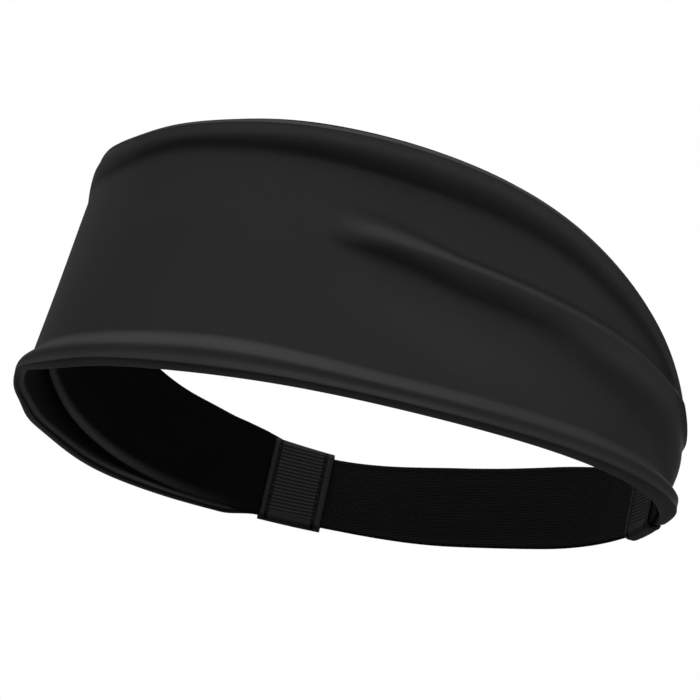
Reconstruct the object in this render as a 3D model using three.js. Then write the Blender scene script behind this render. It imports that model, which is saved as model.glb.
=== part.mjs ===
// Sports headband: a wide stretch-knit band that tapers to two ribbed tab sleeves, which join it
// to a woven elastic strap at the back of the head.
// Millimetres, +Z up. The front of the band faces -Y and the lower rim stands in the plane z = 0.
// "left" and "right" are the wearer's: the left side is +X.
import * as THREE from 'three';

// Ring, measured along its lower rim
const RING_PERIMETER = 575;
// Plan shape of the rim: cosine terms of its radius, and sine terms, because the soft ring doesn't
// stand quite evenly
const RIM_HARMONICS = [1, 0.0574, -0.0645, 0.0237, 0.0117, 0.0029, -0.0084];
const RIM_SKEW = [0, 0.0034, -0.0167, -0.0186, 0.0028, 0.0009, -0.0031];
const RIM_SAMPLES = 720;

// Inward lean of the walls, as inward travel per unit of height
const LEAN_MEAN = 0.054;
const LEAN_FRONT_TO_BACK = 0.024;
const LEAN_ENDS_TO_SIDES = 0.02;
const LEAN_SIDE_TO_SIDE = -0.05;

// Front band
const FRONT_HEIGHT = 74.8;
const BAND_HALF_LENGTH = 204; // from the front centre to the tab sleeve's edge
const TAPER_POWER = 2;
const TAPER_LENGTH = 190.5;
const TAPER_END_HEIGHT = 26.6;
const LOWER_ROLL_DEPTH = 4.9; // how far each roll stands out from the rim line
const LOWER_ROLL_INNER_DEPTH = 2.5; // and in from it
const LOWER_ROLL_HEIGHT = 13;
const LOWER_EDGE_OFFSET = -1.5; // the lower edge is tucked in
const UPPER_ROLL_DEPTH = 2.2;
const UPPER_ROLL_HEIGHT = 9;
const BAND_HALF_THICKNESS = 0.8;
const ROLL_FADE_LENGTH = 70; // the rolled edges shrink over this length before the sleeve
const TUCK_LENGTH = 12; // the band's lower edge lifts into the sleeve over this length
const BAND_STATIONS = 84;

// Liner, standing inside the band
const LINER_THICKNESS = 0.9;
const LINER_LOWER_EDGE = 11; // height of its lower fold above the rim, at the front
const LINER_DROP_START = 85; // the fold comes down to the rim between these distances from the front
const LINER_DROP_END = 185;
const LINER_UPPER_RISE = 2; // how far it stands above the band's upper roll
const LINER_RISE_END = 165;
const LINER_RISE_FADE = 70;
const LINER_LOWER_OFFSET = 4.1; // inward distance of its outer face at the lower fold
const LINER_UPPER_OFFSET = 3.1;
const LINER_MIDDLE_OFFSET = 2.6;

// Tab sleeves
const SLEEVE_LENGTH = 20;
const SLEEVE_LOW = 0.9; // height of its lower fold above the rim
const SLEEVE_HEIGHT = 25.5;
const SLEEVE_PLY = 0.8;
const SLEEVE_CAVITY = 3;
const SLEEVE_CENTRE = -0.6; // outward offset of the cavity's middle from the rim line
const SLEEVE_STATIONS = 7;

// Band ends and strap ends inside the sleeves
const END_CLEARANCE = 0.3;
const BAND_END_DEPTH = 8.5;
const BAND_END_HALF_THICKNESS = 0.6;
const STRAP_END_DEPTH = 10.5;

// Back strap
const STRAP_HEIGHT = 25;
const STRAP_LOW = 1.2;
const STRAP_NECK_LENGTH = 35; // it is drawn in a little over this length beside each sleeve
const STRAP_THICKNESS = 1.4;
const STRAP_STATIONS = 30;

// Stitch rows across each sleeve
const THREAD_RADIUS = 0.22;
const THREAD_SIDES = 6;
const STITCH_LENGTH = 2.5;
const STITCHES_PER_ROW = 9;
const STITCH_RISE = 0.14;
const BAND_SEAM_INSET = 2; // distance of each row from its end of the sleeve
const STRAP_SEAM_INSET = 2.5;

const COLOURS = {
  band: 0x262628,
  liner: 0x0d0d0e,
  sleeve: 0x1b1b1d,
  strap: 0x0b0b0c,
  thread: 0x161617,
};

const CAVITY_HEIGHT = SLEEVE_HEIGHT - 2 * SLEEVE_PLY;
const END_LOWER_EDGE = SLEEVE_LOW + SLEEVE_PLY + END_CLEARANCE;
const END_HEIGHT = CAVITY_HEIGHT - 2 * END_CLEARANCE;
const SLEEVE_START = BAND_HALF_LENGTH;
const SLEEVE_END = BAND_HALF_LENGTH + SLEEVE_LENGTH;

function lerp(a, b, t) {
  return a + (b - a) * t;
}

function smoothstep(t) {
  const x = Math.min(Math.max(t, 0), 1);
  return x * x * (3 - 2 * x);
}

// ---- The ring's lower rim -------------------------------------------------------------------

function unitRimPoint(angle) {
  const even = RIM_HARMONICS.reduce((sum, c, n) => sum + c * Math.cos(n * angle), 0);
  const radius = RIM_SKEW.reduce((sum, c, n) => sum + c * Math.sin(n * angle), even);
  return new THREE.Vector2(radius * Math.sin(angle), -radius * Math.cos(angle));
}

function measureRim() {
  const step = Math.PI / RIM_SAMPLES;
  const lengths = [0];
  let previous = unitRimPoint(-Math.PI);
  for (let i = 1; i <= 2 * RIM_SAMPLES; i += 1) {
    const point = unitRimPoint(i * step - Math.PI);
    lengths.push(lengths[i - 1] + point.distanceTo(previous));
    previous = point;
  }
  const scale = RING_PERIMETER / lengths.at(-1);
  const front = lengths[RIM_SAMPLES];
  return { scale, step, lengths: lengths.map((length) => (length - front) * scale) };
}

const RIM = measureRim();

// Angle around the ring at an arc length s, counted from the front centre towards the wearer's left
function rimAngle(s) {
  const wrapped = s > RIM.lengths.at(-1) ? s - RING_PERIMETER : s;
  const index = Math.max(1, RIM.lengths.findIndex((value) => value >= wrapped));
  const low = RIM.lengths[index - 1];
  const share = (wrapped - low) / (RIM.lengths[index] - low);
  return (index - 1 + share) * RIM.step - Math.PI;
}

function rimFrame(s) {
  const angle = rimAngle(s);
  const point = unitRimPoint(angle).multiplyScalar(RIM.scale);
  const tangent = unitRimPoint(angle + RIM.step).sub(unitRimPoint(angle - RIM.step)).normalize();
  const outward = new THREE.Vector2(tangent.y, -tangent.x);
  const turn = (2 * Math.PI * s) / RING_PERIMETER;
  const lean = LEAN_MEAN + LEAN_FRONT_TO_BACK * Math.cos(turn)
    + LEAN_ENDS_TO_SIDES * Math.cos(2 * turn) + LEAN_SIDE_TO_SIDE * Math.sin(turn);
  return { point, outward, lean };
}

// Point of the wall at arc length s, d outward of the rim line and z above the rim
function wallPoint(frame, d, z) {
  const out = d - frame.lean * z;
  return new THREE.Vector3(
    frame.point.x + frame.outward.x * out,
    frame.point.y + frame.outward.y * out,
    z,
  );
}

// ---- Lofted solids --------------------------------------------------------------------------

function sideIndices(count, loopSize, offset, flip) {
  const indices = [];
  for (let j = 0; j < count - 1; j += 1) {
    for (let i = 0; i < loopSize; i += 1) {
      const next = (i + 1) % loopSize;
      const a = offset + j * loopSize + i;
      const b = offset + j * loopSize + next;
      const c = a + loopSize;
      const d = b + loopSize;
      indices.push(...(flip ? [a, b, c, b, d, c] : [a, c, b, b, c, d]));
    }
  }
  return indices;
}

function capIndices(section, offset, flip) {
  const contour = section.map(([d, z]) => new THREE.Vector2(d, z));
  const faces = THREE.ShapeUtils.triangulateShape(contour, []);
  return faces.flatMap(([a, b, c]) => {
    const face = flip ? [a, c, b] : [a, b, c];
    return face.map((index) => index + offset);
  });
}

function loopPoints(stations, sections) {
  return sections.flatMap((section, j) => {
    const frame = rimFrame(stations[j]);
    return section.map(([d, z]) => wallPoint(frame, d, z));
  });
}

function geometryFrom(points, indices) {
  const geometry = new THREE.BufferGeometry().setFromPoints(points);
  geometry.setIndex(indices);
  geometry.computeVertexNormals();
  return geometry;
}

// A solid lofted through counter-clockwise [outward, height] sections at the given arc lengths
function loft(stations, sectionAt) {
  const sections = stations.map(sectionAt);
  const loopSize = sections[0].length;
  const lastLoop = (stations.length - 1) * loopSize;
  return geometryFrom(loopPoints(stations, sections), [
    ...sideIndices(stations.length, loopSize, 0, false),
    ...capIndices(sections[0], 0, false),
    ...capIndices(sections.at(-1), lastLoop, true),
  ]);
}

// A lofted tube, open at both ends, between an outer and an inner loop of as many points
function loftTube(stations, outerLoop, innerLoop) {
  const loopSize = outerLoop.length;
  const count = stations.length;
  const innerOffset = count * loopSize;
  const points = [
    ...loopPoints(stations, stations.map(() => outerLoop)),
    ...loopPoints(stations, stations.map(() => innerLoop)),
  ];
  const ends = [];
  for (let i = 0; i < loopSize; i += 1) {
    const next = (i + 1) % loopSize;
    const last = (count - 1) * loopSize;
    ends.push(i, next, innerOffset + i, next, innerOffset + next, innerOffset + i);
    ends.push(last + i, innerOffset + last + i, last + next);
    ends.push(last + next, innerOffset + last + i, innerOffset + last + next);
  }
  return geometryFrom(points, [
    ...sideIndices(count, loopSize, 0, false),
    ...sideIndices(count, loopSize, innerOffset, true),
    ...ends,
  ]);
}

function spread(start, end, count) {
  return Array.from({ length: count }, (_, i) => lerp(start, end, i / (count - 1)));
}

// ---- Band and liner -------------------------------------------------------------------------

// 1 where the band lies inside its sleeve, 0 before it narrows to go in
function tuckShare(s) {
  return smoothstep((Math.abs(s) - BAND_HALF_LENGTH + TUCK_LENGTH) / TUCK_LENGTH);
}

function bandHeight(s) {
  const share = Math.min(Math.abs(s) / TAPER_LENGTH, 1);
  const taper = lerp(FRONT_HEIGHT, TAPER_END_HEIGHT, smoothstep(share ** TAPER_POWER));
  return taper - (TAPER_END_HEIGHT - END_HEIGHT - END_LOWER_EDGE) * tuckShare(s);
}

function bandLowerEdge(s) {
  return END_LOWER_EDGE * tuckShare(s);
}

// 1 where the rolled edges are full, 0 where the band lies flat inside its sleeve
function rollShare(s) {
  return smoothstep((BAND_HALF_LENGTH - Math.abs(s)) / ROLL_FADE_LENGTH);
}

function bandSection(s) {
  const share = rollShare(s);
  const low = bandLowerEdge(s);
  const high = bandHeight(s);
  const lower = lerp(BAND_END_HALF_THICKNESS, LOWER_ROLL_DEPTH, share);
  const lowerInner = lerp(BAND_END_HALF_THICKNESS, LOWER_ROLL_INNER_DEPTH, share);
  const upper = lerp(BAND_END_HALF_THICKNESS, UPPER_ROLL_DEPTH, share);
  const wall = lerp(BAND_END_HALF_THICKNESS, BAND_HALF_THICKNESS, share);
  const edge = LOWER_EDGE_OFFSET * share;
  const lowerHeight = Math.min(LOWER_ROLL_HEIGHT, 0.3 * (high - low));
  const upperHeight = Math.min(UPPER_ROLL_HEIGHT, 0.25 * (high - low));
  const middle = (low + high) / 2;
  return [
    [lerp(edge, lower, 0.2), low],
    [lerp(edge, lower, 0.55), low + 0.1 * lowerHeight],
    [lerp(edge, lower, 0.88), low + 0.3 * lowerHeight],
    [lower, low + 0.55 * lowerHeight],
    [lerp(wall, lower, 0.65), low + 0.75 * lowerHeight],
    [wall, low + lowerHeight],
    [wall, middle],
    [wall, high - upperHeight],
    [lerp(wall, upper, 0.7), high - 0.8 * upperHeight],
    [upper, high - 0.45 * upperHeight],
    [0.7 * upper, high - 0.12 * upperHeight],
    [0, high],
    [-0.6 * upper, high - 0.12 * upperHeight],
    [-lerp(wall, upper, 0.7), high - 0.4 * upperHeight],
    [-wall, high - 0.8 * upperHeight],
    [-wall, middle],
    [-wall, low + 0.75 * lowerHeight],
    [-lerp(wall, lowerInner, 0.8), low + 0.35 * lowerHeight],
    [lerp(edge, -lowerInner, 0.75), low + 0.08 * lowerHeight],
    [lerp(edge, -lowerInner, 0.2), low],
  ];
}

// 1 where the liner's lower fold is at its full height, 0 where it has come down to the rim
function linerLiftShare(s) {
  return smoothstep((LINER_DROP_END - Math.abs(s)) / (LINER_DROP_END - LINER_DROP_START));
}

function linerRiseShare(s) {
  return smoothstep((LINER_RISE_END - Math.abs(s)) / LINER_RISE_FADE);
}

function linerSection(s) {
  const share = rollShare(s);
  const endOffset = BAND_END_HALF_THICKNESS + END_CLEARANCE;
  const low = lerp(END_LOWER_EDGE, LINER_LOWER_EDGE, linerLiftShare(s));
  const high = bandHeight(s) + LINER_UPPER_RISE * linerRiseShare(s);
  const lowerFace = -lerp(endOffset, LINER_LOWER_OFFSET, share);
  const middleFace = -lerp(endOffset, LINER_MIDDLE_OFFSET, share);
  const upperFace = -lerp(endOffset, LINER_UPPER_OFFSET, share);
  const lowerBend = lerp(low, high, 0.3);
  const upperBend = lerp(low, high, 0.75);
  return [
    [lowerFace - LINER_THICKNESS / 2, low],
    [lowerFace, low + LINER_THICKNESS / 2],
    [lowerFace, low + 4 * LINER_THICKNESS],
    [middleFace, lowerBend],
    [middleFace, upperBend],
    [upperFace, high - 4 * LINER_THICKNESS],
    [upperFace, high - LINER_THICKNESS / 2],
    [upperFace - LINER_THICKNESS / 2, high],
    [upperFace - LINER_THICKNESS, high - LINER_THICKNESS / 2],
    [upperFace - LINER_THICKNESS, high - 4 * LINER_THICKNESS],
    [middleFace - LINER_THICKNESS, upperBend],
    [middleFace - LINER_THICKNESS, lowerBend],
    [lowerFace - LINER_THICKNESS, low + 4 * LINER_THICKNESS],
    [lowerFace - LINER_THICKNESS, low + LINER_THICKNESS / 2],
  ];
}

function bandStations() {
  const end = BAND_HALF_LENGTH + BAND_END_DEPTH;
  return spread(-end, end, BAND_STATIONS);
}

// ---- Sleeves and strap ----------------------------------------------------------------------

// Rounded upright rectangle, counter-clockwise, as [outward, height] points
function uprightLoop(centre, halfThickness, low, high, corner) {
  const right = centre + halfThickness;
  const left = centre - halfThickness;
  return [
    [right - corner, low],
    [right, low + corner],
    [right, high - corner],
    [right - corner, high],
    [left + corner, high],
    [left, high - corner],
    [left, low + corner],
    [left + corner, low],
  ];
}

function sleeveGeometry(side) {
  const stations = spread(SLEEVE_START, SLEEVE_END, SLEEVE_STATIONS).map((s) => s * side);
  const ordered = side > 0 ? stations : stations.reverse();
  const top = SLEEVE_LOW + SLEEVE_HEIGHT;
  const inner = uprightLoop(
    SLEEVE_CENTRE, SLEEVE_CAVITY / 2, SLEEVE_LOW + SLEEVE_PLY, top - SLEEVE_PLY, 0.5,
  );
  const outer = uprightLoop(SLEEVE_CENTRE, SLEEVE_CAVITY / 2 + SLEEVE_PLY, SLEEVE_LOW, top, 1);
  return loftTube(ordered, outer, inner);
}

// 1 where the strap lies inside a sleeve, 0 where it has its full height
function neckShare(s) {
  const clear = Math.min(s, RING_PERIMETER - s) - SLEEVE_END;
  return 1 - smoothstep(clear / STRAP_NECK_LENGTH);
}

function strapSection(s) {
  const share = neckShare(s);
  const low = lerp(STRAP_LOW, END_LOWER_EDGE, share);
  const high = lerp(STRAP_LOW + STRAP_HEIGHT, END_LOWER_EDGE + END_HEIGHT, share);
  return uprightLoop(SLEEVE_CENTRE, STRAP_THICKNESS / 2, low, high, 0.4);
}

function strapGeometry() {
  const start = SLEEVE_END - STRAP_END_DEPTH;
  const stations = spread(start, RING_PERIMETER - start, STRAP_STATIONS);
  return loft(stations, strapSection);
}

// ---- Stitch rows ----------------------------------------------------------------------------

// One thread of a stitch row: it rises over each stitch and dips at each needle hole
function threadGeometry(s, facing) {
  const frame = rimFrame(s);
  const face = SLEEVE_CENTRE + facing * (SLEEVE_CAVITY / 2 + SLEEVE_PLY + THREAD_RADIUS + 0.06);
  const start = SLEEVE_LOW + (SLEEVE_HEIGHT - STITCHES_PER_ROW * STITCH_LENGTH) / 2;
  const points = [];
  for (let i = 0; i <= 2 * STITCHES_PER_ROW; i += 1) {
    const rise = (i % 2) * STITCH_RISE * facing;
    points.push(wallPoint(frame, face + rise, start + (i * STITCH_LENGTH) / 2));
  }
  const shape = new THREE.Shape(
    spread(0, 2 * Math.PI, THREAD_SIDES + 1).slice(0, -1).map(
      (angle) => new THREE.Vector2(THREAD_RADIUS * Math.cos(angle), THREAD_RADIUS * Math.sin(angle)),
    ),
  );
  return new THREE.ExtrudeGeometry(shape, {
    steps: 3 * STITCHES_PER_ROW,
    extrudePath: new THREE.CatmullRomCurve3(points),
    bevelEnabled: false,
  });
}

// ---- Assembly -------------------------------------------------------------------------------

const group = new THREE.Group();
group.name = 'sports_headband';

function addMesh(name, geometry, colour, roughness) {
  const material = new THREE.MeshStandardMaterial({ color: colour, roughness, metalness: 0 });
  const mesh = new THREE.Mesh(geometry, material);
  mesh.name = name;
  group.add(mesh);
}

addMesh('outer_band', loft(bandStations(), bandSection), COLOURS.band, 0.75);
addMesh('inner_liner', loft(bandStations(), linerSection), COLOURS.liner, 0.9);
addMesh('back_strap', strapGeometry(), COLOURS.strap, 0.85);

for (const [side, sign] of [['left', 1], ['right', -1]]) {
  addMesh(`${side}_tab_sleeve`, sleeveGeometry(sign), COLOURS.sleeve, 0.8);
  const seams = [
    ['band_seam', SLEEVE_START + BAND_SEAM_INSET],
    ['strap_seam', SLEEVE_END - STRAP_SEAM_INSET],
  ];
  for (const [seam, s] of seams) {
    addMesh(`${side}_${seam}_needle_thread`, threadGeometry(sign * s, 1), COLOURS.thread, 0.6);
    addMesh(`${side}_${seam}_bobbin_thread`, threadGeometry(sign * s, -1), COLOURS.thread, 0.6);
  }
}

// Stand the ring with its box centred on the origin
const centre = new THREE.Box3().setFromObject(group).getCenter(new THREE.Vector3());
group.position.set(-centre.x, -centre.y, 0);

export default group;
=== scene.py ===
"""Looks of the sports headband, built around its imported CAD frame.

Shapes are worked out in millimetres on the wall of the ring: s runs along the lower rim from the
front centre (towards the wearer's left, +X), d is outward of the rim line and z is above it.
"""
import math

import bpy
import numpy as np
from mathutils import Matrix, Vector


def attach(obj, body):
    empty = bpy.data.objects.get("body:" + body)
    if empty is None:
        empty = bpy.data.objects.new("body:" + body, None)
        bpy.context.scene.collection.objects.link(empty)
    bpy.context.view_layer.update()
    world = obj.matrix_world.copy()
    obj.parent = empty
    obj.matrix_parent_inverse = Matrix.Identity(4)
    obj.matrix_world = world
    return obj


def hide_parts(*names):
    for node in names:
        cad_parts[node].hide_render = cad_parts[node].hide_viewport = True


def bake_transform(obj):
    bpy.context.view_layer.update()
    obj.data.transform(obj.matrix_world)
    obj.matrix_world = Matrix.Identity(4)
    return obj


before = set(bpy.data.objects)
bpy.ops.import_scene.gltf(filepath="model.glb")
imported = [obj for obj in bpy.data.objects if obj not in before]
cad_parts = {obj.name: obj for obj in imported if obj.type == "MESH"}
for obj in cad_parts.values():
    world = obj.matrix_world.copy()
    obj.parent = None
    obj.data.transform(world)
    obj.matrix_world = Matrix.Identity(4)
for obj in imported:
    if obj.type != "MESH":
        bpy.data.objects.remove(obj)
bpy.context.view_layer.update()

MM = 0.001
TAU = 2 * math.pi

# ---- Sizes shared with the CAD, in millimetres ------------------------------------------------

RING_PERIMETER = 575.0
RIM_HARMONICS = (1, 0.0574, -0.0645, 0.0237, 0.0117, 0.0029, -0.0084)
RIM_SKEW = (0, 0.0034, -0.0167, -0.0186, 0.0028, 0.0009, -0.0031)
RIM_SAMPLES = 7201
RING_CENTRE = (-2.35, 9.86)  # the plan curve's origin, nearer to its back than to its front
LEAN_MEAN = 0.054
LEAN_FRONT_TO_BACK = 0.024
LEAN_ENDS_TO_SIDES = 0.02
LEAN_SIDE_TO_SIDE = -0.05

FRONT_HEIGHT = 74.8
BAND_HALF_LENGTH = 204.0
TAPER_POWER = 2.0
TAPER_LENGTH = 190.5
TAPER_END_HEIGHT = 26.6
TOP_RISES = ((0.5, 25, 20), (-1.4, -30, 17), (1.3, 112, 28), (-1.3, 168, 18),
             (3.9, -184, 16), (-4.2, -146, 14), (1.6, -202, 7))  # height, station and width of each
END_HEIGHT = 23.3
END_LOWER_EDGE = 2.0
BAND_END_DEPTH = 8.5
BAND_END_HALF_THICKNESS = 0.6
ROLL_FADE_LENGTH = 70.0
TUCK_LENGTH = 12.0

LINER_THICKNESS = 0.9
LINER_DEPTH = 3.3  # how far inside the rim line its middle height lies
LINER_FOOT_DEPTH = 4.4
LINER_TOP_DEPTH = 3.5
LINER_WAVE = 0.16
LINER_FOLD_RADIUS = 0.55
LINER_LOWER_EDGE = 11.0
LINER_DROP_START = 85.0
LINER_DROP_END = 185.0
LINER_UPPER_RISE = 2.0
LINER_END_OFFSET = 0.9

SLEEVE_LENGTH = 20.0
SLEEVE_LOW = 0.9
SLEEVE_HIGH = 26.4
SLEEVE_CENTRE = -0.6
SLEEVE_HALF_THICKNESS = 2.3
SLEEVE_PLY = 0.8
SLEEVE_CORNER = 1.6
SLEEVE_INNER_CORNER = 0.9
STRAP_END_DEPTH = 10.5
STRAP_LOW = 1.4
STRAP_HIGH = 26.4
STRAP_END_LOW = 2.3
STRAP_END_HIGH = 24.5
STRAP_NECK_LENGTH = 45.0
STRAP_HALF_THICKNESS = 0.7
STRAP_CORNER = 0.5
STRAP_RISE = 0.8

# ---- How finely the pieces are divided --------------------------------------------------------

BAND_STATIONS = 437
OUTER_STEPS = 150
INNER_STEPS = 60
HEM_STEPS = 32
FOOT_STEPS = 18
CROWN_STEPS = 60
LINER_STATIONS = 300
LINER_STEPS = 90
LINER_TOP_STEPS = 8
LINER_FOLD_STEPS = 16
SLEEVE_STATIONS = 121
SLEEVE_STEPS = 260
STRAP_STATIONS = 480
STRAP_STEPS = 230
CORNER_STEPS = 24
STEPS_PER_STITCH = 16
THREAD_STEPS = 12
NOISE_GRID = 64

# ---- Small maths ------------------------------------------------------------------------------

def smooth(t):
    t = np.clip(t, 0.0, 1.0)
    return t * t * (3 - 2 * t)


def lerp(a, b, t):
    return a + (b - a) * t


def bell(x, centre, width):
    return np.exp(-(((x - centre) / width) ** 2))


def bells(x, terms):
    """Sum of bumps, each given by its height, its centre and its width."""
    return sum(height * bell(x, centre, width) for height, centre, width in terms)


def climb(x, start, length):
    """A smooth step from 0 to 1 that begins at start and takes a length."""
    return smooth((x - start) / length)


def make_noise(seed):
    """A smooth, repeatable field of values from -1 to 1 over two coordinates."""
    grid = np.random.RandomState(seed).uniform(-1, 1, (NOISE_GRID, NOISE_GRID))

    def noise(x, y):
        x, y = np.broadcast_arrays(np.asarray(x, float), np.asarray(y, float))
        column, row = np.floor(x).astype(int), np.floor(y).astype(int)

        def corner(i, j):
            return grid[(column + i) % NOISE_GRID, (row + j) % NOISE_GRID]

        across, along = smooth(x - column), smooth(y - row)
        near = lerp(corner(0, 0), corner(1, 0), across)
        far = lerp(corner(0, 1), corner(1, 1), across)
        return lerp(near, far, along)

    return noise


# ---- The ring's wall --------------------------------------------------------------------------

def make_rim():
    """The rim line's length, x and y, and its outward normal's x and y, from before the back centre
    once round to well past it."""
    angle = np.linspace(-1.2 * math.pi, 2.4 * math.pi, RIM_SAMPLES)
    radius = sum(c * np.cos(n * angle) for n, c in enumerate(RIM_HARMONICS))
    radius = radius + sum(c * np.sin(n * angle) for n, c in enumerate(RIM_SKEW))
    x, y = radius * np.sin(angle), -radius * np.cos(angle)
    length = np.concatenate([[0], np.cumsum(np.hypot(np.diff(x), np.diff(y)))])
    length -= np.interp(0, angle, length)
    scale = RING_PERIMETER / np.interp(TAU, angle, length)
    tangent_x, tangent_y = np.gradient(x, length), np.gradient(y, length)
    return length * scale, x * scale, y * scale, tangent_y, -tangent_x


RIM = make_rim()


def wall(s, d, z):
    """Points in metres, in the object's frame, of the wall at arc length s, d outward and z up."""
    s, d, z = np.broadcast_arrays(s, d, z)
    x, y, out_x, out_y = (np.interp(s, RIM[0], column) for column in RIM[1:])
    turn = TAU * s / RING_PERIMETER
    lean = LEAN_MEAN + LEAN_FRONT_TO_BACK * np.cos(turn)
    lean = lean + LEAN_ENDS_TO_SIDES * np.cos(2 * turn) + LEAN_SIDE_TO_SIDE * np.sin(turn)
    out = d - lean * z
    x, y = x + out_x * out + RING_CENTRE[0], y + out_y * out + RING_CENTRE[1]
    return MM * np.stack([x, y, z], axis=-1)


def tuck_share(s):
    """1 where the band lies inside a sleeve, 0 before it narrows to go in."""
    return smooth((np.abs(s) - BAND_HALF_LENGTH + TUCK_LENGTH) / TUCK_LENGTH)


def top_slump(s):
    """Small uneven rises and dips of the top edge."""
    return bells(s, TOP_RISES)


def band_height(s):
    """Height of the band's top edge."""
    share = np.minimum(np.abs(s) / TAPER_LENGTH, 1)
    taper = lerp(FRONT_HEIGHT, TAPER_END_HEIGHT, smooth(share**TAPER_POWER))
    end_dip = TAPER_END_HEIGHT - END_HEIGHT - END_LOWER_EDGE
    return taper + top_slump(s) - end_dip * tuck_share(s)


def band_lower_edge(s):
    return END_LOWER_EDGE * tuck_share(s)


def roll_share(s):
    """1 along the band's front and sides, fading to 0 at its flat ends."""
    return smooth((BAND_HALF_LENGTH - np.abs(s)) / ROLL_FADE_LENGTH)


# ---- Meshes from grids ------------------------------------------------------------------------

def grid_faces(rows, columns):
    """Quads between the neighbours in a grid of points that closes round its columns."""
    row = np.arange(rows - 1)[:, None]
    column = np.arange(columns)[None, :]
    after = (column + 1) % columns
    quads = [row * columns + column, (row + 1) * columns + column,
             (row + 1) * columns + after, row * columns + after]
    return np.stack([q.ravel() for q in quads], axis=1)


def cap_faces(start, columns, flip):
    """Quads across one end of a flat tube, from each point to the one opposite it."""
    faces = []
    for i in range(columns // 2 - 1):
        face = [start + i, start + i + 1, start + columns - 2 - i, start + columns - 1 - i]
        faces.append(face[::-1] if flip else face)
    return np.array(faces)


def section_lengths(points):
    """Arc length along each row of points, with one more column that closes the loop."""
    closed = np.concatenate([points, points[:, :1]], axis=1)
    steps = np.linalg.norm(np.diff(closed, axis=1), axis=2)
    return np.concatenate([np.zeros((len(points), 1)), np.cumsum(steps, axis=1)], axis=1)


def tube_mesh(name, s, points, capped=True, origin=0):
    """A closed tube of fabric: points[i, j] is station i, place j round the section.
    Its UV map is in metres, along the ring and round the section from the place of the origin."""
    rows, columns = points.shape[:2]
    faces = grid_faces(rows, columns)
    if capped:
        faces = np.concatenate([faces, cap_faces(0, columns, False),
                                cap_faces((rows - 1) * columns, columns, True)])
    mesh = bpy.data.meshes.new(name)
    mesh.from_pydata(points.reshape(-1, 3).tolist(), [], faces.tolist())
    v = section_lengths(points)
    v = v - v[:, origin:origin + 1]
    row, column = faces // columns, faces % columns
    seam = (column.max(axis=1, keepdims=True) - column.min(axis=1, keepdims=True)) > columns - 2
    side = np.zeros(len(faces), bool)
    side[: (rows - 1) * columns] = True
    wrapped = np.where(seam & (column == 0) & side[:, None], columns, column)
    u = np.broadcast_to(np.asarray(s, float).reshape(-1) * MM, (rows,))
    uv = np.stack([u[row], v[row, wrapped]], axis=-1).reshape(-1)
    mesh.uv_layers.new(name="UVMap").data.foreach_set("uv", uv.astype(np.float32))
    mesh.polygons.foreach_set("use_smooth", np.ones(len(faces), bool))
    mesh.update()
    piece = bpy.data.objects.new(name, mesh)
    bpy.context.scene.collection.objects.link(piece)
    return piece


# ---- Outer band -------------------------------------------------------------------------------

LOWER_ROLL_DEPTH = 4.5  # how far the lower roll stands out from the rim line
LOWER_ROLL_WAVES = ((-1.2, -124, 26), (-1.3, -90, 16), (0.8, -46, 16))  # height, station and width
LOWER_ROLL_HEIGHT = 11.0  # where it has fallen back to the wall
LOWER_ROLL_NOSE = 5.4  # height up to which it stands out in full
LOWER_ROLL_FADE = 30.0
FOOT_RADIUS = 0.7  # height over which the outer face turns under to the lower edge
HEM_HEIGHT = 3.2  # height of the doubled edge on the inner face
LOWER_EDGE_OFFSET = -1.2
EDGE_LIFTS = ((3.2, -57, 18), (1.8, -84, 16), (2.0, -118, 24), (0.8, -15, 25))
UPPER_ROLL_DEPTH = 2.4
UPPER_ROLL_WAVES = ((1.7, 75, 50), (-0.3, -72, 20))
UPPER_ROLL_RADIUS = 2.8
INNER_ROLL_DEPTH = 2.0
TOP_LINE = 0.08  # share of the upper roll's radius by which a line is pressed along its top
GROOVE_DROP = 8.3
GROOVE_WAVES = ((0.9, 95, 22), (-1.1, -3, 18), (1.9, 66, 26))
END_ROUNDING = 1.2  # height of the round edges at the flat ends
WALL = 0.8
UNEVENNESS = 0.22
SAG_POWER = 2.2
CREASE_DIP = 0.14  # share of a fold's shoulder by which the face above it sinks
CREASE_RETURN = 24.0  # height over which the face below a fold comes back to the wall
LEFT_CREASE_MIDDLE = 85.3  # the station where its line is about as high as the height below
LEFT_CREASE_HEIGHT = 43.1
LEFT_CREASE_SLOPE = 0.13
LEFT_CREASE_BEND = 0.0006
LEFT_CREASE_SHOULDER = 1.65
RIGHT_CREASE_HEIGHT = 36.5
RIGHT_CREASE_SLOPE = 0.11
RIGHT_CREASE_WIDTH = 3.0
RIGHT_CREASE_TAIL = 6.0
RIGHT_CREASE_SHOULDER = 0.9
RIGHT_CREASE_FALL = 1.7
PLEAT_DEPTH = 0.38
PLEATS = 2.6  # gathers across the band's height


def groove_drop(s):
    """Distance of the upper groove below the band's top edge."""
    right = 2.0 * climb(-s, 15, 35) * (1 - climb(-s, 85, 50))
    ends = 3.6 * climb(s, 117, 50) + 3.0 * climb(-s, 115, 60)
    return GROOVE_DROP + bells(s, GROOVE_WAVES) + right - ends


def edge_lift(s):
    """Height that the lower edge curls up, most where the ring turns on the wearer's right."""
    return bells(s, EDGE_LIFTS)


def edge_offset(s):
    """Outward place of the lower edge, which kicks out where it curls up."""
    return LOWER_EDGE_OFFSET + 4.4 * bell(s, -62, 34) + 1.3 * climb(-s, 80, 40)


def sag(distance, length, tail):
    """Share of a face's fall that steepens over a length, then levels out over a tail."""
    steep = np.clip(distance / length, 0, 1) ** SAG_POWER / SAG_POWER
    level = (1 - (1 - np.clip((distance - length) / tail, 0, 1)) ** 3) * tail / (3 * length)
    return (steep + level) / (1 / SAG_POWER + tail / (3 * length))


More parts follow.
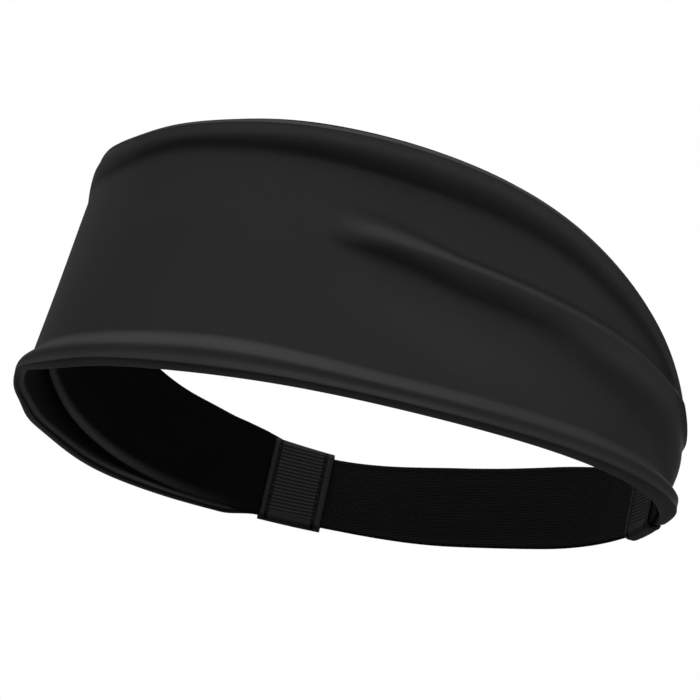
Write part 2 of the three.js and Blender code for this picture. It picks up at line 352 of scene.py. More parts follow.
def crease(z, line, width, gap, tail, shoulder, fall):
    """A fold that hangs over. Below its line the face steps out by its shoulder, sags back in by its
    fall over a gap and a tail, and then comes back to the wall. Just above, the face dips."""
    below = line - z
    reach = 0.7 * width
    step = shoulder * climb(below, -reach, 2 * reach)
    dip = CREASE_DIP * shoulder * bell(below, -width, 0.5 * width)
    under = below - reach
    back = (fall - shoulder) * climb(under, gap, CREASE_RETURN)
    return step - dip - fall * sag(under, gap, tail) + back


def left_crease(s, z):
    """The long fold on the wearer's left, from the front quarter back to the sleeve."""
    along = s - LEFT_CREASE_MIDDLE
    line = LEFT_CREASE_HEIGHT - LEFT_CREASE_SLOPE * along - LEFT_CREASE_BEND * along**2
    line = line + 0.8 * (1 - climb(s, 60, 30))
    width = lerp(3.4, 1.3, climb(s, 56, 34))
    gap = 3.4 + 2.6 * climb(s, 66, 24) + 9.5 * climb(s, 112, 50)
    tail = 3.4 + 5.0 * climb(s, 98, 30) - 3.0 * climb(s, 135, 30)
    rise = climb(s, 47, 20) * (1 - climb(s, 182, 22))
    fall = 2.2 + 1.2 * bell(s, 88, 28) - 0.6 * bell(s, 128, 20) + 0.9 * climb(s, 150, 25)
    swell = 1.3 * bell(s, 141, 20) * bell(z, line - 8.5, 4.5)
    return crease(z, line, width, gap, tail, LEFT_CREASE_SHOULDER * rise, fall * rise) + swell


def right_crease(s, z):
    """A weaker fold on the wearer's right."""
    back = -s
    line = RIGHT_CREASE_HEIGHT - RIGHT_CREASE_SLOPE * (back - 100) + 1.6 * (1 - climb(back, 105, 35))
    gap = 5.4 + 7.0 * np.clip((back - 140) / 45, 0, 1) ** 2
    rise = climb(back, 98, 26) * (1 - climb(back, 184, 22))
    shoulder, fall = RIGHT_CREASE_SHOULDER * rise, RIGHT_CREASE_FALL * rise
    return crease(z, line, RIGHT_CREASE_WIDTH, gap, RIGHT_CREASE_TAIL, shoulder, fall)


def side_crease(s, z):
    """The fold of whichever side a station is on."""
    return np.where(s > 0, left_crease(s, z), right_crease(s, z))


band_noise = make_noise(11)


def pleats(s, share_of_height):
    """Small gathers that run into each sleeve."""
    distance = np.abs(s)
    reach = climb(distance, 158, 34) * (1 - climb(distance, BAND_HALF_LENGTH, 6))
    phase = 0.6 * band_noise(share_of_height * 3 + 7, np.sign(s) * 3 + 9)
    return PLEAT_DEPTH * reach * np.sin(TAU * (PLEATS * share_of_height + phase) + np.sign(s))


def lower_roll(s, height):
    """Share of the lower roll's depth at a height: two soft humps with a shallow dip between.
    The whole roll is lower on the wearer's left."""
    h = height / (1 - 0.24 * climb(s, 20, 60))
    crest = 1 - climb(h, LOWER_ROLL_NOSE, LOWER_ROLL_HEIGHT - LOWER_ROLL_NOSE)
    lean = 0.1 * (1 - np.clip(h / 6, 0, 1))
    dip = (0.08 + 0.05 * bell(s, 70, 30)) * bell(h, 3.3, 1.7)
    return 0.9 * crest + lean - dip


def upper_roll(s, drop):
    """Share of the upper roll's depth at a distance below the top edge."""
    tail = 3.5 - 2.3 * bell(s, 60, 28)
    start = UPPER_ROLL_RADIUS + 1.7 * climb(s, -60, 60)
    return 1 - sag(drop - start, groove_drop(s) - start, tail)


def outer_folds(s, height, drop, z):
    """Relief of the outer face between its rolls: folds, gathers and a slight unevenness."""
    inside = climb(height, 4, 5) * climb(drop, 2, 3)
    near_edges = smooth(height / 4) * smooth(drop / 4)
    uneven = UNEVENNESS * roll_share(s) * band_noise(s / 37, z / 30) + 0.6 * bell(s, -62, 22)
    gathers = pleats(s, height / (height + drop)) * near_edges
    return (side_crease(s, z) + uneven) * inside + gathers


def band_outer(s, z, low, high):
    """Outward distance of the band's outer face."""
    share = roll_share(s)
    height, drop = z - low, high - z
    full = smooth((BAND_HALF_LENGTH - np.abs(s)) / LOWER_ROLL_FADE)
    base = lerp(BAND_END_HALF_THICKNESS, WALL, share)
    lower_depth = LOWER_ROLL_DEPTH + bells(s, LOWER_ROLL_WAVES)
    upper_depth = UPPER_ROLL_DEPTH + bells(s, UPPER_ROLL_WAVES)
    lower = lerp(BAND_END_HALF_THICKNESS, lower_depth, full) - base
    upper = lerp(BAND_END_HALF_THICKNESS, upper_depth, share) - base
    rolls = lower * lower_roll(s, height) + upper * upper_roll(s, drop)
    return base + rolls + outer_folds(s, height, drop, z)


def hem_inset(height):
    """Inward step of the doubled lower edge: a thin lip, a groove and a bead above it."""
    lip = 0.5 * smooth(height / 0.35)
    bead = 1.1 * smooth((height - 0.8) / 0.9) + 0.35 * bell(height, 2.1, 0.6)
    return lip + bead - 0.25 * bell(height, 0.85, 0.3)


def band_inner(s, z, low, high):
    """Outward distance of the band's inner face, which is negative but at the kicked-out edge."""
    share = roll_share(s)
    base = lerp(BAND_END_HALF_THICKNESS, WALL, share)
    upper_rim = lerp(BAND_END_HALF_THICKNESS, INNER_ROLL_DEPTH, share)
    hem = lerp(-BAND_END_HALF_THICKNESS, edge_offset(s) - hem_inset(HEM_HEIGHT), share)
    upper = 1 - climb(high - z, UPPER_ROLL_RADIUS, 5)
    above = climb(z - low, HEM_HEIGHT + edge_lift(s) * share, 9)
    dent = 0.5 * np.minimum(side_crease(s, z), 0)
    face = lerp(hem, -base - (upper_rim - base) * upper, above)
    return face + dent * above * (1 - upper)


def arc(start, stop, count):
    """Evenly spaced angles in radians between two ends in degrees, without the ends."""
    return np.radians(np.linspace(start, stop, count + 2)[1:-1])


def close_section(top, *parts):
    """Joins a section's parts, each given as d and z, in a loop that starts halfway along its top."""
    half = top[0].shape[1] // 2
    loop = []
    for k in range(2):
        pieces = [top[k][:, half:], *(part[k] for part in parts), top[k][:, :half]]
        loop.append(np.concatenate(pieces, axis=1))
    return loop


def band_crown(outer_d, inner_d, stop, radius, share):
    """The round top, from the outer face over to the inner one, with a line pressed along it."""
    turn = arc(0, 180, CROWN_STEPS)[None, :]
    centre, half = (outer_d + inner_d) / 2, (outer_d - inner_d) / 2
    relief = 1 + TOP_LINE * share * (bell(turn, 0.40, 0.16) - bell(turn, 0.78, 0.17))
    return centre + half * relief * np.cos(turn), stop + radius * relief * np.sin(turn)


def band_hem(edge_d, edge_z, inner_d, height, share):
    """The doubled edge, from the inner face down to the lower edge."""
    rise = np.linspace(1, 0, HEM_STEPS + 2)[None, 1:-1]
    plain = lerp(edge_d, inner_d, np.sqrt(rise))
    d = lerp(plain, edge_d - hem_inset(rise * HEM_HEIGHT), share)
    return d, edge_z + height * rise


def band_foot(edge_d, edge_z, outer_d, height):
    """The turn from the lower edge up to the outer face."""
    turn = np.radians(np.linspace(90, 0, FOOT_STEPS + 1)[:-1])[None, :]
    return lerp(edge_d, outer_d, np.cos(turn)), edge_z + height * (1 - np.sin(turn))


def band_points(s):
    """Points round the band's section at every station, from its top down the inner face, round
    the lower edge and up the outer face, and the place of the lower edge among them."""
    s = s[:, None]
    low, high = band_lower_edge(s), band_height(s)
    share = roll_share(s)
    edge_z = low + edge_lift(s) * share
    edge_d = edge_offset(s) * share
    foot_height = lerp(END_ROUNDING, FOOT_RADIUS, share)
    hem_height = lerp(END_ROUNDING, HEM_HEIGHT, share)
    crown_radius = lerp(END_ROUNDING, UPPER_ROLL_RADIUS, share)
    stop = high - crown_radius
    outer_z = lerp(edge_z + foot_height, stop, np.linspace(0, 1, OUTER_STEPS)[None, :])
    inner_z = lerp(stop, edge_z + hem_height, np.linspace(0, 1, INNER_STEPS)[None, :])
    outer_d = band_outer(s, outer_z, low, high)
    inner_d = band_inner(s, inner_z, low, high)
    crown = band_crown(outer_d[:, -1:], inner_d[:, :1], stop, crown_radius, share)
    hem = band_hem(edge_d, edge_z, inner_d[:, -1:], hem_height, share)
    foot = band_foot(edge_d, edge_z, outer_d[:, :1], foot_height)
    d, z = close_section(crown, (inner_d, inner_z), hem, foot, (outer_d, outer_z))
    edge = CROWN_STEPS - CROWN_STEPS // 2 + INNER_STEPS + HEM_STEPS
    return wall(s, d, z), edge


def make_band():
    end = BAND_HALF_LENGTH + BAND_END_DEPTH
    s = np.linspace(-end, end, BAND_STATIONS)
    points, edge = band_points(s)
    return tube_mesh("band_shell", s, points, origin=edge)


# ---- Liner ------------------------------------------------------------------------------------

liner_noise = make_noise(23)


def liner_lift(s):
    """1 where the liner's lower edge has its full height, 0 where it has dropped to the band's."""
    return smooth((LINER_DROP_END - np.abs(s)) / (LINER_DROP_END - LINER_DROP_START))


def liner_centre(s, z, low, high):
    """Outward place of the liner's middle. It leans in towards its lower fold."""
    share = roll_share(s)
    end = LINER_END_OFFSET + LINER_THICKNESS / 2
    middle = -lerp(end, LINER_DEPTH, share)
    foot = -lerp(end, LINER_FOOT_DEPTH, share)
    crown = -lerp(end, LINER_TOP_DEPTH, share)
    down = 1 - smooth((z - low) / 14)
    up = 1 - smooth((high - z) / 12)
    wave = LINER_WAVE * share * liner_noise(s / 21, z / 17 + 5)
    return middle + (foot - middle) * down + (crown - middle) * up + wave


def liner_points(s):
    """Points round the liner's section at every station, in the band's order, and the place of the
    lower fold's middle among them."""
    s = s[:, None]
    low = lerp(END_LOWER_EDGE, LINER_LOWER_EDGE, liner_lift(s))
    high = band_height(s) + LINER_UPPER_RISE * smooth((165 - np.abs(s)) / 70)
    half = LINER_THICKNESS / 2
    radius = lerp(half, LINER_FOLD_RADIUS, roll_share(s))
    start, stop = low + radius, high - half

    def thickness(z):
        return half + (radius - half) * bell(z, start, 2.4)

    outer_z = lerp(start, stop, np.linspace(0, 1, LINER_STEPS)[None, :])
    inner_z = outer_z[:, ::-1]
    outer_d = liner_centre(s, outer_z, low, high) + thickness(outer_z)
    inner_d = liner_centre(s, inner_z, low, high) - thickness(inner_z)
    turn = arc(0, 180, LINER_TOP_STEPS)[None, :]
    top = liner_centre(s, stop, low, high) + half * np.cos(turn), stop + half * np.sin(turn)
    turn = arc(180, 360, LINER_FOLD_STEPS)[None, :]
    fold_d = liner_centre(s, start, low, high) + thickness(start) * np.cos(turn)
    fold = fold_d, start + radius * np.sin(turn)
    d, z = close_section(top, (inner_d, inner_z), fold, (outer_d, outer_z))
    place = LINER_TOP_STEPS - LINER_TOP_STEPS // 2 + LINER_STEPS + LINER_FOLD_STEPS // 2
    return wall(s, d, z), place


def make_liner():
    end = BAND_HALF_LENGTH + BAND_END_DEPTH
    s = np.linspace(-end, end, LINER_STATIONS)
    points, fold = liner_points(s)
    return tube_mesh("liner_shell", s, points, origin=fold)


# ---- Tab sleeves ------------------------------------------------------------------------------

RIB_PITCH = 1.12
RIB_HEIGHT = 0.09
RIB_SLANT = 0.04
SLEEVE_SPREAD = 1.4  # how much taller it is at the band than at the strap
RIB_START = 3.2  # the ribs stop above the smooth bottom fold
BAND_GROOVE = 2.0
STRAP_GROOVE = 17.5
SEAM_DEPTH = 0.42
SEAM_WIDTH = 0.33
STRIP_HEIGHT = 0.28
RIBBON_HEM_HEIGHT = 0.16
LIP_ROUNDING = 0.35


def ribbon_relief(along, z):
    """Relief of a sleeve's face, at a distance along it from the band, and a height."""
    between = climb(along - BAND_GROOVE, 0.2, 0.6) * climb(STRAP_GROOVE - along, 0.2, 0.6)
    ribbed = climb(z, RIB_START, 1.5) * climb(SLEEVE_HIGH - z, 0.6, 0.8)
    ribs = RIB_HEIGHT * np.cos(TAU * (z - RIB_SLANT * along) / RIB_PITCH) * ribbed * between
    strip = STRIP_HEIGHT * (1 - climb(along, 1.2, 0.5)) * smooth(along / 0.5)
    hem = RIBBON_HEM_HEIGHT * climb(along - STRAP_GROOVE, 0.4, 0.4)
    seams = bell(along, BAND_GROOVE, SEAM_WIDTH) + bell(along, STRAP_GROOVE, SEAM_WIDTH)
    return ribs + strip + hem - SEAM_DEPTH * seams


def rounded_loop(half, low, high, radius, count):
    """An upright rounded rectangle, as its points' d and z and the part of their normals along d."""
    rise = np.linspace(low + radius, high - radius, count)
    top = arc(0, 180, CORNER_STEPS)
    foot = arc(180, 360, CORNER_STEPS)
    flat = half - radius
    d = np.concatenate([np.full(count, half), np.sign(np.cos(top)) * flat + radius * np.cos(top),
                        np.full(count, -half), np.sign(np.cos(foot)) * flat + radius * np.cos(foot)])
    z = np.concatenate([rise, high - radius + radius * np.sin(top), rise[::-1],
                        low + radius + radius * np.sin(foot)])
    normal = np.concatenate([np.ones(count), np.cos(top), -np.ones(count), np.cos(foot)])
    return d, z, normal


def spread_height(along, z):
    """Height of a sleeve's point, once it is made taller by the band than by the strap."""
    share = (z - SLEEVE_LOW) / (SLEEVE_HIGH - SLEEVE_LOW)
    return z + SLEEVE_SPREAD * (0.5 - along / SLEEVE_LENGTH) * share


def sleeve_points(side):
    """Stations along a sleeve, and the points of its outer and its inner face at each."""
    along = np.linspace(0, SLEEVE_LENGTH, SLEEVE_STATIONS)[:, None]
    s = side * (BAND_HALF_LENGTH + along)
    outer_d, outer_z, normal = rounded_loop(SLEEVE_HALF_THICKNESS, SLEEVE_LOW, SLEEVE_HIGH,
                                            SLEEVE_CORNER, SLEEVE_STEPS)
    inner_d, inner_z, _ = rounded_loop(SLEEVE_HALF_THICKNESS - SLEEVE_PLY, SLEEVE_LOW + SLEEVE_PLY,
                                       SLEEVE_HIGH - SLEEVE_PLY, SLEEVE_INNER_CORNER, SLEEVE_STEPS)
    edge = LIP_ROUNDING * (bell(along, 0, 0.45) + bell(along, SLEEVE_LENGTH, 0.45))
    relief = ribbon_relief(along, outer_z[None, :])
    outer_d = SLEEVE_CENTRE + outer_d + normal * (relief - edge)
    inner_d = SLEEVE_CENTRE + inner_d + np.sign(inner_d) * edge * 0.5
    outer = wall(s, outer_d, spread_height(along, outer_z))
    inner = wall(s, inner_d, spread_height(along, inner_z))
    return s, outer, inner


def make_sleeve(name, side):
    """A ribbon loop: an outer and an inner tube, joined by lips at both open ends."""
    s, outer, inner = sleeve_points(side)
    loops = np.concatenate([inner[::-1], outer, inner[-1:]])
    stations = np.concatenate([s[::-1], s, s[-1:]])
    return tube_mesh(name, stations, loops, capped=False)


# ---- Strap ------------------------------------------------------------------------------------

STRAP_RIB_PITCH = 1.1
STRAP_RIB_HEIGHT = 0.01
SELVAGE_HEIGHT = 0.08


def neck_share(s):
    """1 where the strap lies inside a sleeve, 0 where it has its full height."""
    clear = np.minimum(s, RING_PERIMETER - s) - BAND_HALF_LENGTH - SLEEVE_LENGTH
    return 1 - smooth(clear / STRAP_NECK_LENGTH)


def strap_points(s):
    """Points round the strap's section at every station."""
    s = s[:, None]
    d, z, normal = rounded_loop(STRAP_HALF_THICKNESS - SELVAGE_HEIGHT, STRAP_LOW, STRAP_HIGH,
                                STRAP_CORNER, STRAP_STEPS)
    ribs = STRAP_RIB_HEIGHT * np.cos(TAU * z / STRAP_RIB_PITCH)
    selvage = SELVAGE_HEIGHT * (bell(z, STRAP_LOW + 1.0, 0.7) + bell(z, STRAP_HIGH - 1.0, 0.7))
    low = lerp(STRAP_LOW, STRAP_END_LOW, neck_share(s))
    high = lerp(STRAP_HIGH, STRAP_END_HIGH, neck_share(s)) + STRAP_RISE * bell(s, 262, 24)
    level = low + (high - low) * (z - STRAP_LOW) / (STRAP_HIGH - STRAP_LOW)
    return wall(s, SLEEVE_CENTRE + d + normal * (ribs + selvage), level)


def make_strap():
    start = BAND_HALF_LENGTH + SLEEVE_LENGTH - STRAP_END_DEPTH
    s = np.linspace(start, RING_PERIMETER - start, STRAP_STATIONS)
    return tube_mesh("strap_webbing", s, strap_points(s))


# ---- Stitches ---------------------------------------------------------------------------------

STITCH_LENGTH = 2.5
STITCHES = 9
STITCH_RISE = 0.30
STITCH_SINK = 0.34  # how deep the needle holes lie below the ribbon's face
STITCH_LEAN = 0.10
THREAD_RADIUS = 0.2
THREAD_TWIST = 2.4


def thread_line(s, face, facing):
    """The centre line of a row of stitches, dipping at each needle hole."""
    start = (SLEEVE_LOW + SLEEVE_HIGH - STITCHES * STITCH_LENGTH) / 2
    t = np.linspace(0, STITCHES, STITCHES * STEPS_PER_STITCH + 1)
    rise = np.abs(np.sin(math.pi * t)) ** 0.6
    d = face + facing * (STITCH_RISE * rise - STITCH_SINK)
    lean = STITCH_LEAN * np.sin(TAU * t + 0.5 * s)
    return wall(s + lean, d, start + STITCH_LENGTH * t)


def thread_points(line):
    """A two-ply tube round a centre line."""
    tangent = np.gradient(line, axis=0)
    tangent /= np.linalg.norm(tangent, axis=1, keepdims=True)
    side = np.cross(tangent, np.array([0.0, 0.0, 1.0]) + 0.01)
    side /= np.linalg.norm(side, axis=1, keepdims=True)
    up = np.cross(side, tangent)
    length = np.concatenate([[0], np.cumsum(np.linalg.norm(np.diff(line, axis=0), axis=1))])
    angle = np.linspace(0, TAU, THREAD_STEPS, endpoint=False)[None, :]
    phase = (length / MM * THREAD_TWIST)[:, None]
    radius = THREAD_RADIUS * (0.82 + 0.18 * np.abs(np.cos(angle - phase)))
    offset = np.cos(angle)[..., None] * side[:, None] + np.sin(angle)[..., None] * up[:, None]
    return line[:, None] + MM * radius[..., None] * offset


def make_thread(name, s, facing):
    face = SLEEVE_CENTRE + facing * SLEEVE_HALF_THICKNESS
    line = thread_line(s, face, facing)
    return tube_mesh(name, np.linspace(0, 1, len(line)), thread_points(line))


# ---- Materials --------------------------------------------------------------------------------

# Greys of each cloth: its darkest and its lightest yarn, or one grey for a mark on it.
# Some of them are painted shade and painted highlight, as said beside them.
KNIT_FACE = (0.0030, 0.0104)
# the reverse's greys are painted shade: darker because the inner face lies in shade
KNIT_SHADED_REVERSE = (0.0004, 0.0010)
# a painted highlight on the crest of the doubled lower edge
KNIT_CREST_HIGHLIGHT = 0.0190
# painted shade in the groove where the two plies meet
KNIT_JOIN_SHADE = 0.0015
LINER_BODY = (0.0003, 0.0011)
# a painted highlight along the liner's lower fold
LINER_FOLD_HIGHLIGHT = 0.0180
ELASTIC = (0.0, 0.0030)
RIBBON = (0.0030, 0.0062)
RIBBON_SEWN = 0.0004
THREAD = (0.0012, 0.0036)


class Graph:
    """Short names for building a material's nodes."""

    def __init__(self, name):
        self.material = bpy.data.materials.new(name)
        self.material.use_nodes = True
        self.tree = self.material.node_tree
        self.shader = self.tree.nodes["Principled BSDF"]

    def node(self, kind, inputs=(), **settings):
        node = self.tree.nodes.new(kind)
        for key, value in settings.items():
            setattr(node, key, value)
        for key, value in dict(inputs).items():
            self.set(node.inputs[key], value)
        return node

    def set(self, socket, value):
        if isinstance(value, bpy.types.NodeSocket):
            self.tree.links.new(value, socket)
        else:
            socket.default_value = value

    def math(self, operation, *values):
        return self.node("ShaderNodeMath", enumerate(values), operation=operation).outputs[0]

    def noise(self, vector, scale, detail, roughness):
        inputs = {"Vector": vector, "Scale": scale, "Detail": detail, "Roughness": roughness}
        return self.node("ShaderNodeTexNoise", inputs).outputs["Fac"]

    def uv(self):
        node = self.node("ShaderNodeUVMap", uv_map="UVMap")
        parts = self.node("ShaderNodeSeparateXYZ", {"Vector": node.outputs[0]})
        return node.outputs[0], parts.outputs[0], parts.outputs[1]

    def position(self):
        return self.node("ShaderNodeTexCoord").outputs["Object"]

    def mix(self, factor, a, b):
        node = self.node("ShaderNodeMix", data_type="RGBA")
        for socket, value in ((node.inputs[0], factor), (node.inputs[6], a), (node.inputs[7], b)):
            self.set(socket, value)
        return node.outputs[2]

    def bump(self, height, strength, distance, below=None):
        inputs = {"Height": height, "Strength": strength, "Distance": distance}
        if below is not None:
            inputs["Normal"] = below
        return self.node("ShaderNodeBump", inputs).outputs[0]

    def ramp(self, value, start, stop):
        """A smooth step from 0 at start to 1 at stop."""
        inputs = {"Value": value, "From Min": start, "From Max": stop}
        return self.node("ShaderNodeMapRange", inputs, interpolation_type="SMOOTHSTEP").outputs[0]

    def wave(self, value, period):
        """A sine from -1 to 1, of that period in metres."""
        return self.math("SINE", self.math("MULTIPLY", value, TAU / period))


def grey(value):
    return (value, value, value, 1.0)


def tones(graph, shade, pair):
    """A colour between two greys."""
    return graph.mix(shade, grey(pair[0]), grey(pair[1]))


def finish_fabric(graph, roughness, specular, sheen, sheen_roughness):
    graph.set(graph.shader.inputs["Roughness"], roughness)
    graph.set(graph.shader.inputs["Specular IOR Level"], specular)
    graph.set(graph.shader.inputs["Sheen Weight"], sheen)
    graph.set(graph.shader.inputs["Sheen Roughness"], sheen_roughness)


def knit_height(graph, u, v, wale, course):
    """Height of a plain knit: columns of V-shaped loops."""
    column = graph.math("ABSOLUTE", graph.wave(u, 2 * wale))
    slant = graph.math("MULTIPLY", column, 2.2)
    loops = graph.math("SINE", graph.math("ADD", graph.math("MULTIPLY", v, TAU / course), slant))
    return graph.math("MULTIPLY_ADD", loops, 0.35, column)


def knit_colour(graph, shade, v):
    """The face shows outside and turns under the lower edge; above it comes the reverse, painted
    darker as shade, with a painted highlight on the doubled edge's crest and painted shade in the
    join below it."""
    # the reverse, up the inner face, is painted darker as shade
    colour = graph.mix(graph.ramp(v, -0.0046, -0.0028), tones(graph, shade, KNIT_SHADED_REVERSE),
                       tones(graph, shade, KNIT_FACE))
    # a painted highlight along the crest of the doubled edge
    crest_highlight = graph.math("MULTIPLY", graph.ramp(v, -0.0033, -0.0026), graph.ramp(v, -0.0014, -0.0020))
    colour = graph.mix(crest_highlight, colour, grey(KNIT_CREST_HIGHLIGHT))
    # painted shade in the groove between the lip and the bead
    join_shade = graph.math("MULTIPLY", graph.ramp(v, -0.0016, -0.0012), graph.ramp(v, -0.0004, -0.0008))
    return graph.mix(join_shade, colour, grey(KNIT_JOIN_SHADE))


def knit_material():
    """v is 0 at the band's lower edge, below 0 up its inner face and above 0 up its outer face."""
    graph = Graph("outer_fabric")
    uv, u, v = graph.uv()
    height = knit_height(graph, u, v, 0.00042, 0.00036)
    mottle = graph.noise(uv, 1500, 3, 0.65)
    cloud = graph.noise(graph.position(), 38, 3, 0.5)
    shade = graph.math("MULTIPLY_ADD", mottle, 0.7, graph.math("MULTIPLY", cloud, 0.3))
    graph.set(graph.shader.inputs["Base Color"], knit_colour(graph, shade, v))
    normal = graph.bump(graph.noise(uv, 3000, 2, 0.6), 0.22, 0.0002)
    graph.set(graph.shader.inputs["Normal"], graph.bump(height, 0.2, 0.00008, normal))
    finish_fabric(graph, graph.math("MULTIPLY_ADD", mottle, 0.15, 0.6), 0.02, 0.008, 0.45)
    return graph.material


def liner_material():
    """v is 0 at the lower fold's middle, below 0 up the inner face and above 0 up the outer face."""
    graph = Graph("liner_fabric")
    uv, u, v = graph.uv()
    nap = graph.noise(uv, 2600, 4, 0.65)
    cloud = graph.noise(graph.position(), 60, 3, 0.5)
    shade = graph.math("MULTIPLY_ADD", nap, 0.5, graph.math("MULTIPLY", cloud, 0.5))
    # a painted highlight along the lower fold, fading out towards the band's ends
    fold = graph.math("MULTIPLY", graph.ramp(v, -0.0044, -0.0002), graph.ramp(v, 0.0010, 0.0004))
    fold = graph.math("MULTIPLY", fold, graph.ramp(graph.math("ABSOLUTE", u), 0.205, 0.120))
    colour = graph.mix(fold, tones(graph, shade, LINER_BODY), grey(LINER_FOLD_HIGHLIGHT))
    graph.set(graph.shader.inputs["Base Color"], colour)
    height = knit_height(graph, u, v, 0.0005, 0.00045)
    normal = graph.bump(nap, 0.4, 0.0002)
    graph.set(graph.shader.inputs["Normal"], graph.bump(height, 0.3, 0.0001, normal))
    finish_fabric(graph, 0.95, 0.004, 0.002, 0.6)
    return graph.material


def weave_height(graph, u, v, pitch_u, pitch_v):
    """Height of a plain weave: warp over weft in turn."""
    product = graph.math("MULTIPLY", graph.wave(u, pitch_u), graph.wave(v, pitch_v))
    warp = graph.math("ABSOLUTE", graph.wave(v, pitch_v))
    return graph.math("MULTIPLY_ADD", product, 0.6, warp)


def elastic_material():
    graph = Graph("woven_elastic")
    uv, u, v = graph.uv()
    height = weave_height(graph, u, v, 0.0011, 0.0013)
    slub = graph.noise(uv, 1500, 4, 0.75)
    shade = graph.math("MULTIPLY_ADD", slub, 0.9, graph.math("MULTIPLY", height, 0.1))
    graph.set(graph.shader.inputs["Base Color"], tones(graph, shade, ELASTIC))
    normal = graph.bump(slub, 0.5, 0.0002)
    graph.set(graph.shader.inputs["Normal"], graph.bump(height, 0.6, 0.0002, normal))
    finish_fabric(graph, 0.8, 0.01, 0.003, 0.5)
    return graph.material


def ribbon_material():
    """A fine weave, darker along both sewn grooves."""
    graph = Graph("ribbed_ribbon")
    uv, u, v = graph.uv()
    height = weave_height(graph, u, v, 0.0005, 0.0004)
    colour = tones(graph, graph.noise(uv, 1800, 3, 0.6), RIBBON)
    for along in (BAND_GROOVE, STRAP_GROOVE):
        distance = graph.math("SUBTRACT", graph.math("ABSOLUTE", u), MM * (BAND_HALF_LENGTH + along))
        sewn = graph.ramp(graph.math("ABSOLUTE", distance), 0.0009, 0.0003)
        colour = graph.mix(sewn, colour, grey(RIBBON_SEWN))
    graph.set(graph.shader.inputs["Base Color"], colour)
    graph.set(graph.shader.inputs["Normal"], graph.bump(height, 0.4, 0.0001))
    finish_fabric(graph, 0.7, 0.02, 0.008, 0.4)
    return graph.material


def thread_material():
    graph = Graph("sewing_thread")
    fibres = graph.noise(graph.position(), 4000, 3, 0.6)
    graph.set(graph.shader.inputs["Base Color"], tones(graph, fibres, THREAD))
    graph.set(graph.shader.inputs["Normal"], graph.bump(fibres, 0.4, 0.00005))
    finish_fabric(graph, 0.5, 0.03, 0.01, 0.4)
    return graph.material


# ---- Studio -----------------------------------------------------------------------------------

CAMERA_AZIMUTH = math.radians(42.30)
CAMERA_ELEVATION = math.radians(-15.48)
CAMERA_ROLL = math.radians(12.50)
CAMERA_DISTANCE = 0.947
CAMERA_AIM = Vector((0.0004, -0.0002, 0.0347))
CAMERA_SENSOR = 36.0
CAMERA_LENS = 168.1
FLOOR_LEVEL = -0.25
FLOOR_RADIUS = 12.0
FLOOR_FADE = (0.5, 1.8)
FLOOR_RINGS = 24
FLOOR_SPOKES = 64
FLOOR_GREY = 0.2
AMBIENT = 0.4
LIGHT_AIM = Vector((0, 0, 0.03))
LIGHTS = (("top_light", (0.02, -0.40, 1.13), 1.2, 67.0),
          ("side_light", (1.3, -0.1, 0.45), 0.9, 27.0),
          ("back_light", (-0.7, 1.15, 0.5), 1.0, 8.0))  # name, place, diameter and watts


def make_camera():
    cos, sin = math.cos, math.sin
    forward = Vector((-sin(CAMERA_AZIMUTH) * cos(CAMERA_ELEVATION),
                      cos(CAMERA_AZIMUTH) * cos(CAMERA_ELEVATION), -sin(CAMERA_ELEVATION)))
    level = Vector((cos(CAMERA_AZIMUTH), sin(CAMERA_AZIMUTH), 0))
    upright = level.cross(forward)
    right = level * cos(CAMERA_ROLL) + upright * sin(CAMERA_ROLL)
    up = right.cross(forward)
    data = bpy.data.cameras.new("camera")
    data.sensor_width = CAMERA_SENSOR
    data.lens = CAMERA_LENS
    data.clip_start = 0.05
    camera = bpy.data.objects.new("camera", data)
    bpy.context.scene.collection.objects.link(camera)
    turn = Matrix((right, up, -forward)).transposed().to_4x4()
    camera.matrix_world = Matrix.Translation(CAMERA_AIM - CAMERA_DISTANCE * forward) @ turn
    bpy.context.scene.camera = camera


def make_light(name, place, size, power):
    """A soft round light that faces the object."""
    data = bpy.data.lights.new(name, "AREA")
    data.shape = "DISK"
    data.size = size
    data.energy = power
    light = bpy.data.objects.new(name, data)
    bpy.context.scene.collection.objects.link(light)
    light.location = place
    towards = LIGHT_AIM - Vector(place)
    light.rotation_euler = towards.to_track_quat("-Z", "Y").to_euler()


def make_world():
    """A white room, which lights the object less than it shows behind it."""
    world = bpy.data.worlds.new("studio")
    world.use_nodes = True
    nodes, links = world.node_tree.nodes, world.node_tree.links
    seen = nodes.new("ShaderNodeLightPath").outputs["Is Camera Ray"]
    strength = nodes.new("ShaderNodeMapRange")
    strength.inputs["To Min"].default_value = AMBIENT
    links.new(seen, strength.inputs["Value"])
    links.new(strength.outputs[0], nodes["Background"].inputs["Strength"])
    nodes["Background"].inputs["Color"].default_value = (1, 1, 1, 1)
    bpy.context.scene.world = world


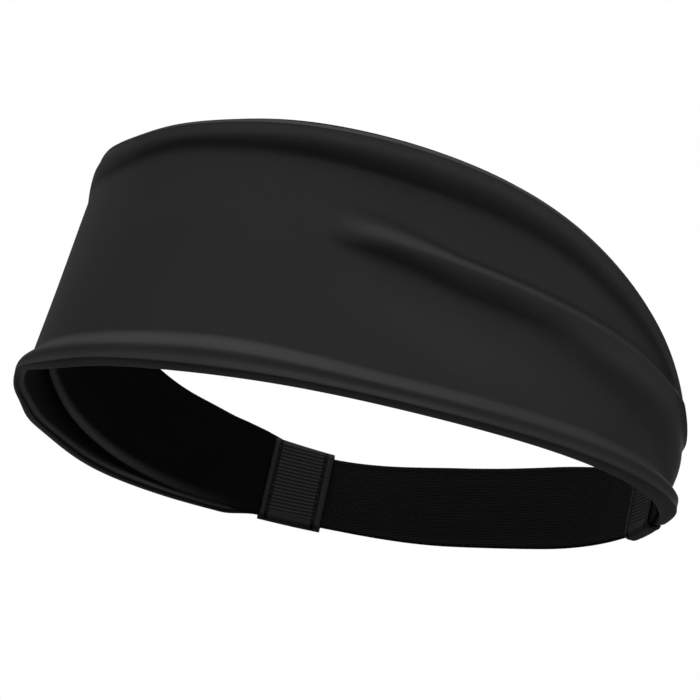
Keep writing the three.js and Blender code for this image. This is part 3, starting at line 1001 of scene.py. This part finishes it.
def floor_material():
    """Pale near the object, and fading into the white room far from it."""
    graph = Graph("studio_floor")
    length = graph.node("ShaderNodeVectorMath", {0: graph.position()}, operation="LENGTH")
    fade = graph.ramp(length.outputs["Value"], *FLOOR_FADE)
    graph.set(graph.shader.inputs["Base Color"], grey(FLOOR_GREY))
    graph.set(graph.shader.inputs["Roughness"], 0.9)
    graph.set(graph.shader.inputs["Specular IOR Level"], 0.0)
    glow = graph.node("ShaderNodeEmission", {"Color": grey(1.0), "Strength": 1.0}).outputs[0]
    mixed = graph.node("ShaderNodeMixShader", {0: fade, 1: graph.shader.outputs[0], 2: glow})
    graph.tree.links.new(mixed.outputs[0], graph.tree.nodes["Material Output"].inputs["Surface"])
    return graph.material


def make_floor():
    """A round floor, whose rings are closer together near the middle."""
    radius = np.linspace(0, 1, FLOOR_RINGS)[:, None] ** 2 * FLOOR_RADIUS
    angle = np.linspace(0, TAU, FLOOR_SPOKES, endpoint=False)[None, :]
    points = np.stack([radius * np.cos(angle), radius * np.sin(angle), 0 * radius * angle], axis=-1)
    faces = grid_faces(FLOOR_RINGS, FLOOR_SPOKES)
    mesh = bpy.data.meshes.new("floor")
    mesh.from_pydata(points.reshape(-1, 3).tolist(), [], faces.tolist())
    floor = bpy.data.objects.new("floor", mesh)
    bpy.context.scene.collection.objects.link(floor)
    floor.location = (0, 0, FLOOR_LEVEL)
    floor.data.materials.append(floor_material())


# ---- Assembly ---------------------------------------------------------------------------------

def dress(piece, material, slot, *nodes):
    """Gives a piece its material and hides the CAD nodes it stands for; the slot is not used."""
    piece.data.materials.append(material)
    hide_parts(*nodes)
    return piece


def build():
    band = dress(make_band(), knit_material(), "outer_fabric", "outer_band")
    liner = dress(make_liner(), liner_material(), "liner_fabric", "inner_liner")
    strap = dress(make_strap(), elastic_material(), "woven_elastic", "back_strap")
    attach(band, "band")
    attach(liner, "band")
    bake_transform(strap)
    ribbon, thread = ribbon_material(), thread_material()
    for side, sign in (("left", 1), ("right", -1)):
        sleeve = dress(make_sleeve(f"{side}_sleeve_ribbon", sign), ribbon, "ribbed_ribbon",
                       f"{side}_tab_sleeve")
        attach(sleeve, "band")
        for seam, along in (("band_seam", BAND_GROOVE), ("strap_seam", STRAP_GROOVE)):
            for ply, facing in (("needle", 1), ("bobbin", -1)):
                name = f"{side}_{seam}_{ply}"
                row = make_thread(name + "_stitches", sign * (BAND_HALF_LENGTH + along), facing)
                dress(row, thread, "sewing_thread", name + "_thread")
                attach(row, "band")


make_world()
make_floor()
make_camera()
for light in LIGHTS:
    make_light(*light)
bpy.context.scene.view_settings.view_transform = "Standard"
build()
